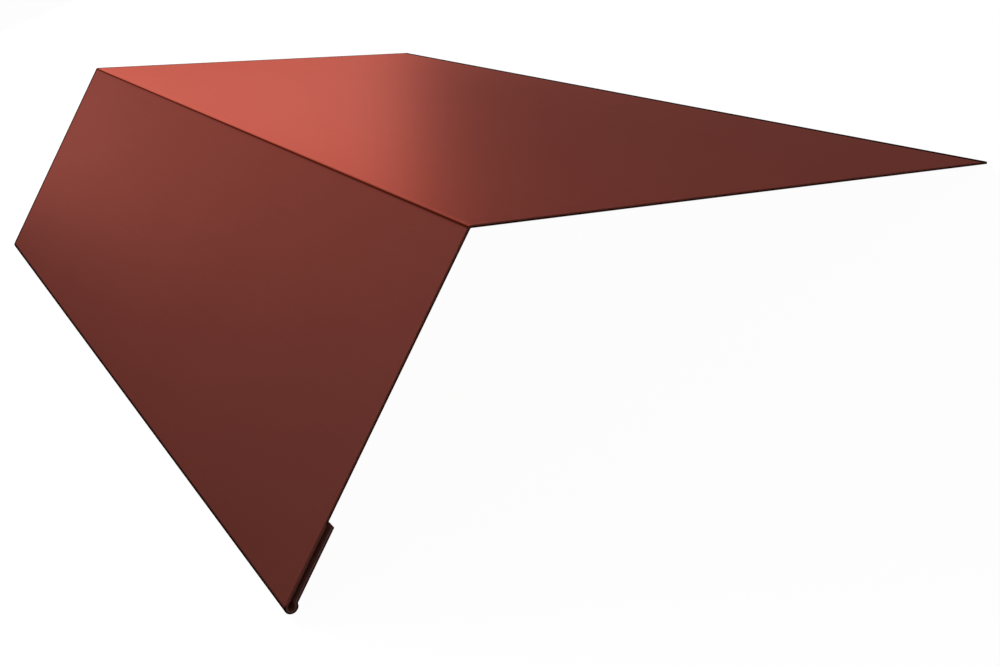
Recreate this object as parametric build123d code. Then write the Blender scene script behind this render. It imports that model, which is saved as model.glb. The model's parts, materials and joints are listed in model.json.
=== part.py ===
from build123d import *

import os
from math import acos, asin, atan2, degrees, radians, sin, tan

# Eaves closure: one length of painted steel sheet, folded on a brake.
# A wide deck flange is nailed down along the roof edge, a narrower face hangs in front of the fascia,
# and the face's lower edge is turned back inside as an open hem with a small round bead,
# which stiffens the drip edge and leaves no cut edge in view.
# The length lies as it would on a floor: fold up, on the deck's back edge and on the bead.
# Millimetres and degrees, +Z up, +Y along the fold, origin on the floor under the middle.

# Driving dimensions
length = 282.0  # along the fold
sheet = 0.5  # steel and paint together
deck_width = 120.0  # outer corner of the fold to the back edge
face_width = 69.5  # outer corner of the fold to the lowest line of the bead
fold_angle = 120.0  # between the deck's and the face's inner sides
fold_radius = 0.3  # inside the fold
hem_width = 16.0  # lowest line of the bead to the hem's free edge
hem_gap = 0.95  # clear between the face and the hem's leg
bead_swell = 0.5  # by how much the bead is wider inside than the gap
neck_radius = 0.4  # where the bead closes in to the leg, on the painted side

# Sizes that follow
fold_turn = 180 - fold_angle
outer_fold_radius = fold_radius + sheet
fold_setback = outer_fold_radius * tan(radians(fold_turn / 2))
bead_radius = (hem_gap + bead_swell) / 2 + sheet
bead_to_neck = bead_radius + neck_radius
neck_turn = degrees(acos(1 - bead_swell / bead_to_neck))
neck_height = bead_to_neck * sin(radians(neck_turn))


def painted_side():
    """The section's painted side with the deck level, from the back edge to the hem's free edge,
    and the middle of the bead."""
    with BuildLine() as side:
        deck = Line((deck_width, 0), (fold_setback, 0))
        fold = JernArc(deck @ 1, deck % 1, outer_fold_radius, fold_turn)
        face = PolarLine(fold @ 1, face_width - fold_setback - bead_radius, direction=fold % 1)
        bead = JernArc(face @ 1, face % 1, bead_radius, 180 + neck_turn)
        neck = JernArc(bead @ 1, bead % 1, neck_radius, -neck_turn)
        PolarLine(neck @ 1, hem_width - bead_radius - neck_height, direction=neck % 1)
    return side.line, bead.arc_center


def tilt_at_rest(bead_middle):
    """How far the level section turns until the deck's lower back edge and the bead share a floor."""
    back_edge = Vector(deck_width, -sheet)
    across = back_edge - bead_middle
    return degrees(atan2(across.Y, across.X) + asin(bead_radius / across.length))


def eaves_closure():
    """The folded length, lying on the floor with the middle of its box over the origin."""
    side, bead_middle = painted_side()
    folded = make_brake_formed(sheet, length, line=side, side=Side.LEFT)
    lying = (Plane.XZ * folded).rotate(Axis.Y, tilt_at_rest(bead_middle))
    box = lying.bounding_box()
    return Pos(-box.center().X, -box.center().Y, -box.min.Z) * lying


os.makedirs("parts", exist_ok=True)
closure = eaves_closure()
closure.label = "eaves_closure"
export_step(closure, "parts/eaves_closure.step")
print("eaves_closure", closure.bounding_box().size, "volume", round(closure.volume, 1))
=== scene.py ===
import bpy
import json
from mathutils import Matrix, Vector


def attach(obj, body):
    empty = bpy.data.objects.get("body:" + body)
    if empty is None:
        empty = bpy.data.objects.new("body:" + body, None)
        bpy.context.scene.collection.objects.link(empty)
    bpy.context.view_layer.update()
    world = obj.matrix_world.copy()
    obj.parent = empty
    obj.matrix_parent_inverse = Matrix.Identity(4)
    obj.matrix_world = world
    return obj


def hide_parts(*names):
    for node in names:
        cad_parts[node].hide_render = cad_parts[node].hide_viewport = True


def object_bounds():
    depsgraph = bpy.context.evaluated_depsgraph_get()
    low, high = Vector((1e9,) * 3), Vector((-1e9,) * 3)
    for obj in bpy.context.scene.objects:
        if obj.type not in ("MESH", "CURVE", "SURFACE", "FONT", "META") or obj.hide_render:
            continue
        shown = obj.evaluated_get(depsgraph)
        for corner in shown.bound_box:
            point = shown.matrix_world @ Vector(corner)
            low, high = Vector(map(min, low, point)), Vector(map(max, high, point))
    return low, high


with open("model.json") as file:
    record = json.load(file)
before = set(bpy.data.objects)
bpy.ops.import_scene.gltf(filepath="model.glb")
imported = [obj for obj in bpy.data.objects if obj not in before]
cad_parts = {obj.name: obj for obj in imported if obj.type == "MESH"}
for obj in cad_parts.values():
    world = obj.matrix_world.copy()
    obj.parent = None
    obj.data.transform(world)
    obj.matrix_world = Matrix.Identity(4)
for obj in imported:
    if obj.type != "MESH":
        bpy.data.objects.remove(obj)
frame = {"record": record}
cad_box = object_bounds()
print("CAD box, in metres:", [[round(c, 5) for c in corner] for corner in cad_box])

# %% [markdown]
# # An eaves closure
# The real thing is one length of painted steel sheet, folded on a brake. A wide deck flange lies on
# the roof edge, a narrower face hangs in front of the fascia, and the face's lower edge is turned
# back inside as a hem with a small round bead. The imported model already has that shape, but its
# round stretches are coarse and it has one colour all over, so this lesson makes the sheet again
# as a fine surface, with paint outside, a dull backing coat inside and steel where it was cut.

# %% Tools and units
import json
from math import acos, atan2, cos, e, pi, radians, sin, tan

import bpy
import numpy as np
from mathutils import Matrix, Vector

MM = 0.001
print("one millimetre is", MM, "of the frame's units")

# %% [markdown]
# ## The section, as a walk
# A folder works from the sheet's back edge to its other edge: a straight stretch, a fold, a straight
# stretch, a bend. The section could be drawn point by point, but a walk is shorter and can't leave
# a gap: each stroke has a length and a turn, and starts where the last one ended. The sizes are the
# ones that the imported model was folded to.

# %% Sizes of the folded sheet
LENGTH = cad_box[1][1] - cad_box[0][1]
SHEET = 0.5 * MM
DECK_WIDTH = 120 * MM
FACE_WIDTH = 69.5 * MM
FOLD_TURN = radians(60)
FOLD_RADIUS = 0.3 * MM + SHEET
HEM_WIDTH = 16 * MM
HEM_GAP = 0.95 * MM
BEAD_SWELL = 0.5 * MM
NECK_RADIUS = 0.4 * MM

fold_setback = FOLD_RADIUS * tan(FOLD_TURN / 2)
fold_run = FOLD_RADIUS * FOLD_TURN
deck_run = DECK_WIDTH - fold_setback
bead_radius = (HEM_GAP + BEAD_SWELL) / 2 + SHEET
face_run = FACE_WIDTH - fold_setback - bead_radius
bead_to_neck = bead_radius + NECK_RADIUS
neck_turn = acos(1 - BEAD_SWELL / bead_to_neck)
bead_turn = pi + neck_turn
bead_run = bead_radius * bead_turn
leg_run = HEM_WIDTH - bead_radius - bead_to_neck * sin(neck_turn)
print(f"length {LENGTH / MM:.1f} mm, bead {2 * bead_radius / MM:.2f} mm across")

# %% Walk along the painted side
EDGE_ROUND = 0.07 * MM  # how far the shear rounds a cut edge
SUPPORT = 0.04 * MM  # a narrow step beside each bend, so that the flat stretches shade flat

# Each stroke is its length, its turn to the left and the even steps that it is cut into.
STROKES = [
    (deck_run - EDGE_ROUND, 0, 48),
    (fold_run, FOLD_TURN, 14),
    (face_run, 0, 28),
    (bead_run, bead_turn, 44),
    (NECK_RADIUS * neck_turn, -neck_turn, 12),
    (leg_run - EDGE_ROUND, 0, 8),
]


def steps_along(length, steps):
    """Distances from 0 to length in even steps, with a narrow extra step at both ends."""
    even = np.linspace(0, length, steps + 1)
    return np.concatenate([even[:1], [SUPPORT], even[1:-1], [length - SUPPORT], even[-1:]])


def walk(strokes, place, heading):
    """Places, headings and distances walked: the start, then every step over strokes of even curvature.

    The chord from a stroke's start to a point on it is as long as the way walked times the sinc of
    half the turn so far, and points half-way between the first heading and the heading there.
    """
    gone, legs = 0.0, [([place], [heading], [0.0])]
    for length, turn, steps in strokes:
        way = steps_along(length, steps)[1:]
        turned = turn * way / length
        chord = way * np.sinc(turned / 2 / pi)
        toward = heading + turned / 2
        spots = place + chord[:, None] * np.stack([np.cos(toward), np.sin(toward)], 1)
        legs.append((spots, heading + turned, gone + way))
        place, heading, gone = spots[-1], heading + turn, gone + length
    return [np.concatenate(parts) for parts in zip(*legs)]


section, heading, across = walk(STROKES, np.array([DECK_WIDTH - EDGE_ROUND, 0]), pi)
across = across + EDGE_ROUND
FOLD_AT = deck_run + fold_run / 2
BEAD_AT = deck_run + fold_run + face_run
BEAD_END = BEAD_AT + bead_run
blank_width = across[-1] + EDGE_ROUND
print(f"painted side {blank_width / MM:.1f} mm wide, fold at {FOLD_AT / MM:.1f} mm, {len(section)} stations")

# %% [markdown]
# ## From level to lying
# The section is walked with the deck level, as the profile is fixed. Unheld, the piece lies with its
# fold up, on the deck's back edge and on the bead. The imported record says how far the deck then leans:
# its upper side is a mount, and the mount's axis is that side's normal. So the tilt is read from the
# record and the place from the CAD box, and nothing is fitted by eye.

# %% Tilt and place
mounts = {mount["name"]: mount for mount in frame["record"]["mounts"]}
deck_normal = mounts["roofing_bed"]["axis"]
TILT = atan2(deck_normal[0], deck_normal[2])
lean = Matrix.Rotation(TILT, 4, "Y")
back_top = lean @ Vector((DECK_WIDTH, 0, 0))
back_foot = lean @ Vector((DECK_WIDTH, 0, -SHEET))
near_fold = Vector((cad_box[1][0] - back_top.x, cad_box[0][1], cad_box[0][2] - back_foot.z))
LYING = Matrix.Translation(near_fold) @ lean
print(f"deck leans {TILT * 180 / pi:.2f} degrees, fold {near_fold.z / MM:.2f} mm above the floor")

# %% [markdown]
# ## The sheet as one closed surface
# A solidified plane would give the thickness, but not the rounded, sheared rim that catches the eye
# on a thin sheet. Here the surface has two parameters: a place round the rim of the section (along the
# painted side, over a cut edge, back along the inner side, over the other cut edge) and a place along
# the length. Towards both ends the rim shrinks by a quarter circle, and a strip of quads closes it.

# %% Rim and rings
ROUND_STEPS = 5
RING_STEPS = 72


def with_rounding(count):
    """Signed angles of the outward direction: 0 on the flat, out to a quarter turn at both ends."""
    corner = np.linspace(0, pi / 2, ROUND_STEPS + 1)[1:]
    return np.concatenate([-corner[::-1], np.zeros(count), corner])


rim_angle = with_rounding(len(section))
rim_station = np.clip(np.arange(len(rim_angle)) - ROUND_STEPS, 0, len(section) - 1)
ring_way = steps_along(LENGTH - 2 * EDGE_ROUND, RING_STEPS) - (LENGTH / 2 - EDGE_ROUND)
ring_angle = with_rounding(len(ring_way))
ring_base = ring_way[np.clip(np.arange(len(ring_angle)) - ROUND_STEPS, 0, len(ring_way) - 1)]
print(f"half rim of {len(rim_angle)} points, {len(ring_angle)} rings")


# %% Points of the sheet
def sheet_points():
    """Points of the sheet, as rings by places round the rim.

    A point is the middle of the sheet at its station, plus its reach along the heading, plus its
    height towards the painted side. With outward angle a and edge radius r, the reach is r sin a and
    the height is half the sheet less r (1 - cos a). A ring at angle b is moved r sin b along the
    length, and its points r (1 - cos b) inwards. The inner half of the rim is the painted half with
    its heights reversed, walked back.
    """
    along = np.stack([np.cos(heading), np.sin(heading)], 1)[rim_station]
    inward = np.stack([-along[:, 1], along[:, 0]], 1)
    middle = section[rim_station] + inward * SHEET / 2
    inset = EDGE_ROUND * (1 - np.cos(ring_angle))[:, None]
    reach = (EDGE_ROUND - inset) * np.sin(rim_angle)
    height = SHEET / 2 - EDGE_ROUND * (1 - np.cos(rim_angle)) - inset * np.cos(rim_angle)
    halves = []
    for side in (1, -1):
        flat = middle + reach[..., None] * along - side * height[..., None] * inward
        halves.append(flat[:, ::side])
    flat = np.concatenate(halves, 1)
    length_way = ring_base + EDGE_ROUND * np.sin(ring_angle) + LENGTH / 2
    length_way = np.broadcast_to(length_way[:, None, None], flat.shape[:2] + (1,))
    level = np.concatenate([flat[..., :1], length_way, flat[..., 1:]], 2)
    return level @ np.array(LYING.to_3x3()).T + np.array(LYING.translation)


points = sheet_points()
print("surface of", points.shape[0], "rings by", points.shape[1], "points")

# %% [markdown]
# ## Which finish goes where
# The coil was painted before it was folded: colour on one side, a thin backing coat on the other.
# Where it was sheared the steel shows. Three materials on one mesh say that most plainly. Each face
# knows its place round the rim, so its finish is a matter of counting, not of painting masks. Two numbers
# at each point help the finishes later: how far across the flat blank it lies, and on which side.

# %% Faces and their finishes
PAINT, BACKING, STEEL = 0, 1, 2


def sheet_faces(rings, rim):
    """Quads between neighbouring rings, then a strip across each end, and each quad's finish."""
    ring, place = np.meshgrid(np.arange(rings - 1), np.arange(rim), indexing="ij")
    after = (place + 1) % rim
    walls = np.stack([ring * rim + place, ring * rim + after,
                      (ring + 1) * rim + after, (ring + 1) * rim + place], -1)
    half = rim // 2
    finish = np.where(place < half, PAINT, BACKING)
    finish[:, [half - 1, rim - 1]] = STEEL
    pair = np.arange(half - 1)
    near = np.stack([pair, rim - 1 - pair, rim - 2 - pair, pair + 1], -1)
    far = near[:, ::-1] + (rings - 1) * rim
    quads = np.concatenate([walls.reshape(-1, 4), near, far])
    ends = np.full(2 * len(pair), STEEL)
    return quads, np.concatenate([finish.ravel(), ends])


# %% Mesh of the sheet
def sheet_mesh(name, surface):
    """The sheet's mesh. Each point knows its distance across the flat blank, and its depth:

    0 on the painted side and 1 on the inner side.
    """
    rings, rim = surface.shape[:2]
    quads, finish = sheet_faces(rings, rim)
    mesh = bpy.data.meshes.new(name)
    mesh.from_pydata(surface.reshape(-1, 3), [], quads)
    mesh.polygons.foreach_set("material_index", finish)
    mesh.polygons.foreach_set("use_smooth", np.ones(len(quads), bool))
    half_across = across[rim_station] + EDGE_ROUND * np.sin(rim_angle)
    whole = np.tile(np.concatenate([half_across, half_across[::-1]]), rings)
    mesh.attributes.new("across", "FLOAT", "POINT").data.foreach_set("value", whole)
    inner = np.tile(np.arange(rim) >= rim // 2, rings).astype(float)
    mesh.attributes.new("depth", "FLOAT", "POINT").data.foreach_set("value", inner)
    mesh.update()
    return mesh


closure = bpy.data.objects.new("folded_sheet", sheet_mesh("folded_sheet", points))
bpy.context.collection.objects.link(closure)
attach(closure, "root")
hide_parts("eaves_closure")
print("folded sheet:", len(closure.data.polygons), "quads")

# %% [markdown]
# ## Shader maths as arithmetic
# Node graphs grow unreadable when every sum is a node placed by hand. A small class wraps a socket and
# turns plus, minus, times and the rest into Math nodes, and one method adds any other node. A finish
# is then a few lines that read like the sentence one would say about it.


# %% Sockets with operators
class Signal:
    """A socket that carries a number. Arithmetic on it adds a Math node."""

    def __init__(self, finish, socket):
        self.finish = finish
        self.socket = socket

    def maths(self, operation, first, second):
        """What a Math node makes of two numbers."""
        return self.finish.node("ShaderNodeMath", {"operation": operation}, {0: first, 1: second})

    def __add__(self, other):
        return self.maths("ADD", self, other)

    def __sub__(self, other):
        return self.maths("SUBTRACT", self, other)

    def __rsub__(self, other):
        return self.maths("SUBTRACT", other, self)

    def __mul__(self, other):
        return self.maths("MULTIPLY", self, other)

    def __truediv__(self, other):
        return self.maths("DIVIDE", self, other)

    __radd__ = __add__
    __rmul__ = __mul__

    def bell(self, middle, width):
        """1 at the middle, falling off as a bell on both sides: e to the minus square of the offset."""
        offset = (self - middle) / width
        return self.maths("POWER", e, 0 - offset * offset)

    def past(self, middle, soft):
        """0 below the middle and 1 above it, with a smooth step that is soft on both sides."""
        settings = {"interpolation_type": "SMOOTHSTEP"}
        sockets = {0: self, 1: middle - soft, 2: middle + soft}
        return self.finish.node("ShaderNodeMapRange", settings, sockets)

    def either(self, other):
        """1 where this mask or the other one is 1: one less the product of what both leave."""
        return 1 - (1 - self) * (1 - other)


# %% A node tree in words
GRAIN_HEIGHT = 0.02 * MM


class Finish:
    """A node tree under way, with one method that adds any node to it."""

    def __init__(self, tree):
        self.tree = tree
        tree.nodes.clear()

    def node(self, kind, settings, sockets, output=0):
        """Adds a node: its settings first, then the values or links of its sockets.

        Gives back one of its outputs, or nothing for a node that ends the tree.
        """
        made = self.tree.nodes.new(kind)
        for name, value in settings.items():
            setattr(made, name, value)
        for key, value in sockets.items():
            if isinstance(value, Signal):
                self.tree.links.new(value.socket, made.inputs[key])
            else:
                made.inputs[key].default_value = value
        return Signal(self, made.outputs[output]) if made.outputs else None

    def noise(self, where, scale, detail=2.0, roughness=0.5):
        """Noise between 0 and 1, in blotches of about one over the scale."""
        sockets = {"Vector": where, "Scale": scale, "Detail": detail, "Roughness": roughness}
        return self.node("ShaderNodeTexNoise", {}, sockets)

    def drawn_out(self, where, factors):
        """Noise between 0 and 1 in a place whose three measures are multiplied first, so that it streaks."""
        place = self.node("ShaderNodeVectorMath", {"operation": "MULTIPLY"}, {0: where, 1: factors})
        return self.noise(place, scale=1, detail=3, roughness=0.55)

    def shade(self, colour, tone):
        """A colour made lighter or darker by a factor."""
        return self.node("ShaderNodeVectorMath", {"operation": "SCALE"}, {0: colour, "Scale": tone})

    def blend(self, share, first, second):
        """A colour between two colours."""
        settings = {"data_type": "RGBA"}
        return self.node("ShaderNodeMix", settings, {0: share, 6: first, 7: second}, 2)

    def grained(self, grain, strength):
        """The surface's normal, roughened by a fine grain."""
        sockets = {"Strength": strength, "Distance": GRAIN_HEIGHT, "Height": grain}
        return self.node("ShaderNodeBump", {}, sockets)


# %% A new finish, and places on the sheet
def new_finish(name):
    """An empty material and the node tree that it is built in."""
    material = bpy.data.materials.new(name)
    material.use_nodes = True
    return material, Finish(material.node_tree)


def sheet_places(finish):
    """Distance across the blank, distance along it, and both as a flat vector, in metres."""
    place = finish.node("ShaderNodeTexCoord", {}, {}, "Object")
    along_way = finish.node("ShaderNodeSeparateXYZ", {}, {0: place}, "Y")
    across_way = finish.node("ShaderNodeAttribute", {"attribute_name": "across"}, {}, "Fac")
    blank = finish.node("ShaderNodeCombineXYZ", {}, {0: across_way, 1: along_way})
    return across_way, along_way, blank


# %% [markdown]
# ## The paint
# Polyester paint on a coil is satin and very even: what breaks it up is fine grain, faint streaks along
# the coil from the roller, and a slow drift of tone. Its red pigment tints the gloss too, so part of the
# coat is set as metal with a tinted edge; a clear gloss would turn the deck white at this low angle.
# Just below the fold and along the far end, shade is painted into the coat as a darker red line, and
# round the bead and along the back edge the painted shade is nearly black. All of that is worked out on
# the flat blank, so it follows the sheet round its bends.

# %% Paint
PAINT_COLOUR = (0.205, 0.0537, 0.0421)
GLOSS_SHARE = 0.12
GLOSS_TINT = (1, 0.434, 0.386, 1)  # keeps the gloss red at a low angle
# painted shade: a darker red line below the fold's crest and along the far end
SHADE_LINE_COLOUR = (0.058, 0.007, 0.001, 1)
SHADE_LINE_BELOW, SHADE_LINE_WIDTH = 0.3 * MM, 0.24 * MM  # below the crest of the fold
# painted shade: nearly black round the bead and along the back edge
DEEP_SHADE_COLOUR = (0.01, 0.0035, 0.0025, 1)
BEAD_SHADE_FROM = 0.15 * MM  # round the bead from the end of the face
BEAD_SHADE_CREEP = 0.0013  # how much further up the face the painted shade round the bead starts, for each metre along the length
BACK_SHADE_WIDTH, FAR_SHADE_WIDTH = 1.6 * MM, 1.7 * MM  # how far in from these edges the painted shade reaches
SOFT_EDGE = 0.3 * MM


def painted_coat():
    """Oxide-red satin paint, grained and streaked, with shade painted at the fold, bead, back edge and far
    end.
    """
    material, coat = new_finish("oxide_red_paint")
    across_way, along_way, blank = sheet_places(coat)
    grain = coat.noise(blank, scale=2600, detail=3, roughness=0.6)
    drift = coat.noise(blank, scale=22)
    streaks = coat.drawn_out(blank, (900, 9, 1))
    tone = 0.86 + 0.1 * grain + 0.1 * drift + 0.08 * streaks
    # masks of the painted shade: a line below the fold, the bead, and rims along the back edge and far end
    line = across_way.bell(FOLD_AT + SHADE_LINE_BELOW, SHADE_LINE_WIDTH) * (0.9 + 0.2 * streaks)
    to_bead = (across_way + BEAD_SHADE_CREEP * along_way).past(BEAD_AT + BEAD_SHADE_FROM, SOFT_EDGE)
    bead = to_bead - across_way.past(BEAD_END + SOFT_EDGE, SOFT_EDGE)
    back_edge_shade = 1 - across_way.past(BACK_SHADE_WIDTH, SOFT_EDGE)
    far_edge_shade = along_way.past(LENGTH / 2 - FAR_SHADE_WIDTH, SOFT_EDGE)
    shade_lines = line.either(far_edge_shade)
    deep_shade = bead.either(back_edge_shade)
    colour = coat.blend(shade_lines, coat.shade(PAINT_COLOUR, tone), SHADE_LINE_COLOUR)
    shader = coat.node("ShaderNodeBsdfPrincipled", {}, {
        "Base Color": coat.blend(deep_shade, colour, DEEP_SHADE_COLOUR),
        "Roughness": 0.366 + 0.03 * drift + 0.03 * grain,
        "Metallic": GLOSS_SHARE * (1 - shade_lines.either(deep_shade)),
        "Specular IOR Level": 0.0,
        "Specular Tint": GLOSS_TINT,
        "Normal": coat.grained(grain, 0.25),
    })
    coat.node("ShaderNodeOutputMaterial", {}, {"Surface": shader})
    return material


closure.data.materials.append(painted_coat())
print("paint:", len(closure.data.materials[PAINT].node_tree.nodes), "nodes")

# %% [markdown]
# ## The backing coat
# The inner side has a thin epoxy coat, dull red-brown, matt and slightly streaked by the roller. In the
# hem, light is painted into it: the coat is made lighter there. A plain colour would look like plastic,
# so a little noise breaks it up.

# %% Backing coat
BACKING_COLOUR = (0.28, 0.12, 0.095)
HEM_LIGHT_GAIN = 0.6  # how much painted light lifts the coat in the hem
HEM_LIGHT_EDGE = 2 * MM


def backing_coat():
    """Dull red-brown epoxy backing coat with faint roller streaks, and painted light in the hem."""
    material, coat = new_finish("brown_backing_coat")
    across_way, _, blank = sheet_places(coat)
    streaks = coat.drawn_out(blank, (700, 7, 1))
    drift = coat.noise(blank, scale=30, detail=3, roughness=0.55)
    grain = coat.noise(blank, scale=3200, detail=2, roughness=0.6)
    # painted light: the coat is made lighter inside the hem
    hem_light = across_way.past(BEAD_AT - HEM_WIDTH + HEM_LIGHT_EDGE, HEM_LIGHT_EDGE)
    tone = (0.78 + 0.16 * streaks + 0.16 * drift + 0.12 * grain) * (1 + HEM_LIGHT_GAIN * hem_light)
    shader = coat.node("ShaderNodeBsdfPrincipled", {}, {
        "Base Color": coat.shade(BACKING_COLOUR, tone),
        "Roughness": 0.5 + 0.12 * drift,
        "Specular IOR Level": 0.03,
        "Normal": coat.grained(grain, 0.2),
    })
    coat.node("ShaderNodeOutputMaterial", {}, {"Surface": shader})
    return material


closure.data.materials.append(backing_coat())
print("backing coat:", len(closure.data.materials[BACKING].node_tree.nodes), "nodes")

# %% [markdown]
# ## The cut edge
# A shear drags some coat over the cut where it comes in, and leaves bare steel, gone black, where it
# breaks out. It came in from the painted side, so on the deck and the face the cut is red at that side
# and black further in. Having crossed the gap of the hem, it met the leg from the inner side: there the
# order is turned round, and what it dragged is the backing coat. Where the hem backs the face the cut
# stays mostly covered, and at the far end it is bare. Painting that by hand would take a close eye. Here
# the depth of each point, from the painted to the inner side, gives all of it as a few soft steps.

# %% Cut steel
DRAGGED_PAINT = (0.44, 0.135, 0.095, 1)
DRAGGED_COAT = (0.42, 0.2, 0.175, 1)
STEEL_COLOUR = (0.012, 0.006, 0.005, 1)
DRAG_DEPTH, DRAG_FADE = 0.525, 0.275  # as shares of the sheet
BACKED_COVER = 0.72  # share of the bare steel that stays covered where the hem backs the face
HEM_TOP = BEAD_AT + bead_radius - HEM_WIDTH
HEM_EDGE = 0.5 * MM
FAR_FADE = LENGTH / 8


def cut_steel():
    """Sheared steel gone black, with fine tears, and coat dragged over it where the shear came in."""
    material, metal = new_finish("sheared_steel")
    across_way, along_way, blank = sheet_places(metal)
    tears = metal.noise(blank, scale=5200, detail=3, roughness=0.6)
    depth = metal.node("ShaderNodeAttribute", {"attribute_name": "depth"}, {}, "Fac")
    hem = across_way.past(BEAD_AT, HEM_EDGE)
    backed = across_way.past(HEM_TOP, SOFT_EDGE) - hem
    far_end = along_way.past(FAR_FADE, FAR_FADE)
    entered = depth + hem * (1 - 2 * depth)
    torn = (entered + 0.3 * tears).past(DRAG_DEPTH, DRAG_FADE)
    bare = (torn * (1 - BACKED_COVER * backed)).either(far_end)
    dragged = metal.blend(hem, DRAGGED_PAINT, DRAGGED_COAT)
    shader = metal.node("ShaderNodeBsdfPrincipled", {}, {
        "Base Color": metal.blend(bare, dragged, STEEL_COLOUR),
        "Roughness": 0.45 + 0.2 * tears,
        "Specular IOR Level": 0.0,
    })
    metal.node("ShaderNodeOutputMaterial", {}, {"Surface": shader})
    return material


closure.data.materials.append(cut_steel())
print("finishes:", [material.name for material in closure.data.materials])

# %% [markdown]
# ## Floor and daylight
# The picture is on plain white. A floor that is white to the camera and to reflections, with a share of
# plain diffuse left in it, keeps the soft shadow that tells where the piece lies. The sky is white where
# it is seen and dim where it lights, so that the lamps model the piece.

# %% Floor
FLOOR_HALF = 4.0  # half the floor's side, in metres
FLOOR_COLOUR = (0.8, 0.8, 0.8, 1)
WHITE = (1, 1, 1, 1)
WHITE_SHARE = 0.86
WHITE_GLOW = 1.13  # makes up for what the diffuse share lacks, so that the open floor is white


def seen_directly(board):
    """1 for rays that come from the camera, a reflection or a refraction, and 0 for the rest."""
    path = [board.node("ShaderNodeLightPath", {}, {}, name)
            for name in ("Is Camera Ray", "Is Glossy Ray", "Is Transmission Ray")]
    return path[0].either(path[1]).either(path[2])


def pale_floor():
    """A plain square floor, part white light to the camera and part plain diffuse."""
    material, paper = new_finish("white_floor")
    matt = paper.node("ShaderNodeBsdfDiffuse", {}, {"Color": FLOOR_COLOUR})
    white = paper.node("ShaderNodeEmission", {}, {"Color": WHITE, "Strength": WHITE_GLOW})
    share = seen_directly(paper) * WHITE_SHARE
    mixed = paper.node("ShaderNodeMixShader", {}, {0: share, 1: matt, 2: white})
    paper.node("ShaderNodeOutputMaterial", {}, {"Surface": mixed})
    mesh = bpy.data.meshes.new("floor")
    corners = FLOOR_HALF * np.array([[-1, -1, 0], [1, -1, 0], [1, 1, 0], [-1, 1, 0]])
    mesh.from_pydata(corners + np.array([0, 0, cad_box[0][2]]), [], [[0, 1, 2, 3]])
    mesh.materials.append(material)
    return bpy.data.objects.new("floor", mesh)


floor = pale_floor()
bpy.context.collection.objects.link(floor)
print(f"floor {2 * FLOOR_HALF} m square, at height {cad_box[0][2]:.4f} m")

# %% World
DAYLIGHT = 0.1


def daylight():
    """An even white sky: white where it is seen, and a plain low level where it lights."""
    world = bpy.data.worlds.new("daylight")
    world.use_nodes = True
    sky = Finish(world.node_tree)
    dim = sky.node("ShaderNodeBackground", {}, {"Color": WHITE, "Strength": DAYLIGHT})
    white = sky.node("ShaderNodeBackground", {}, {"Color": WHITE, "Strength": 1.0})
    light = sky.node("ShaderNodeMixShader", {}, {0: seen_directly(sky), 1: dim, 2: white})
    sky.node("ShaderNodeOutputWorld", {}, {"Surface": light})
    return world


bpy.context.scene.world = daylight()
print("sky:", DAYLIGHT, "where it lights and 1 where it is seen")

# %% [markdown]
# ## Lamps
# The coat is satin, so the deck mirrors what stands beyond its far end, smeared by the grain. In the
# picture that is a bright soft box with an upright edge: it fills the far left of the deck and ends in
# a soft edge that runs straight up the picture. A spot on the deck could fake that from one side, but a
# soft box in the mirror's line gives it by gloss, which moves as one walks round the piece. A second
# soft box, with a grid in front, lights the face from the left and stays out of the mirror image.
# Places are given in millimetres with the deck level, from the near end of the fold, and are then laid
# with the piece.


# %% Soft boxes
def soft_box(name, stand, aim, edge, size, power, spread, mirrored):
    """A rectangular lamp at stand, facing aim, with its long side as near to edge as it can lie."""
    lamp = bpy.data.lights.new(name, "AREA")
    lamp.shape = "RECTANGLE"
    lamp.size, lamp.size_y = size[0] * MM, size[1] * MM
    lamp.energy = power
    lamp.spread = radians(spread)
    box = bpy.data.objects.new(name, lamp)
    facing = (Vector(aim) - Vector(stand)).normalized()
    long_side = (Vector(edge) - Vector(edge).dot(facing) * facing).normalized()
    turned = Matrix((long_side.cross(-facing), long_side, -facing)).transposed().to_4x4()
    box.matrix_world = LYING @ Matrix.Translation(Vector(stand) * MM) @ turned
    box.visible_camera = False
    box.visible_glossy = mirrored
    bpy.context.collection.objects.link(box)
    print(f"{name}: {power} W from", [round(c, 3) for c in box.matrix_world.translation])


soft_box("far_box", stand=(151.4, 900, 262.75), aim=(151.4, 0, 262.75), edge=(1, 0, 0),
         size=(120.9, 509.6), power=8.226, spread=180, mirrored=True)
soft_box("side_box", stand=(-111, 346.3, 59.3), aim=(2, -97.3, 0), edge=(-0.065, 0.998, -0.03),
         size=(86.8, 238.5), power=0.18, spread=42.06, mirrored=False)

# %% [markdown]
# ## Camera
# The picture was taken with the deck level, so the camera is described against the level piece, by its
# place from the near end of the fold, its heading from the fold's line and how far it looks down.
# Laying the camera along with the piece gives the same picture of the lying piece.

# %% Camera
EYE = Vector((-88.41, -169.3, 43.87)) * MM
HEADING, LOOK_DOWN = radians(29.053), radians(17.974)
LENS, SENSOR = 43.974, 36.0

view = Vector((sin(HEADING) * cos(LOOK_DOWN), cos(HEADING) * cos(LOOK_DOWN), -sin(LOOK_DOWN)))
level_right = Vector((cos(HEADING), -sin(HEADING), 0))
axes = Matrix((level_right, level_right.cross(view), -view)).transposed().to_4x4()
lens = bpy.data.cameras.new("camera")
lens.lens, lens.sensor_width, lens.sensor_fit = LENS, SENSOR, "HORIZONTAL"
lens.clip_start = 1 * MM
camera = bpy.data.objects.new("camera", lens)
camera.matrix_world = LYING @ Matrix.Translation(EYE) @ axes
bpy.context.collection.objects.link(camera)
bpy.context.scene.camera = camera
bpy.context.scene.view_settings.view_transform = "Standard"
print("camera stands", [round(c / MM, 1) for c in camera.matrix_world.translation], "mm from the origin")
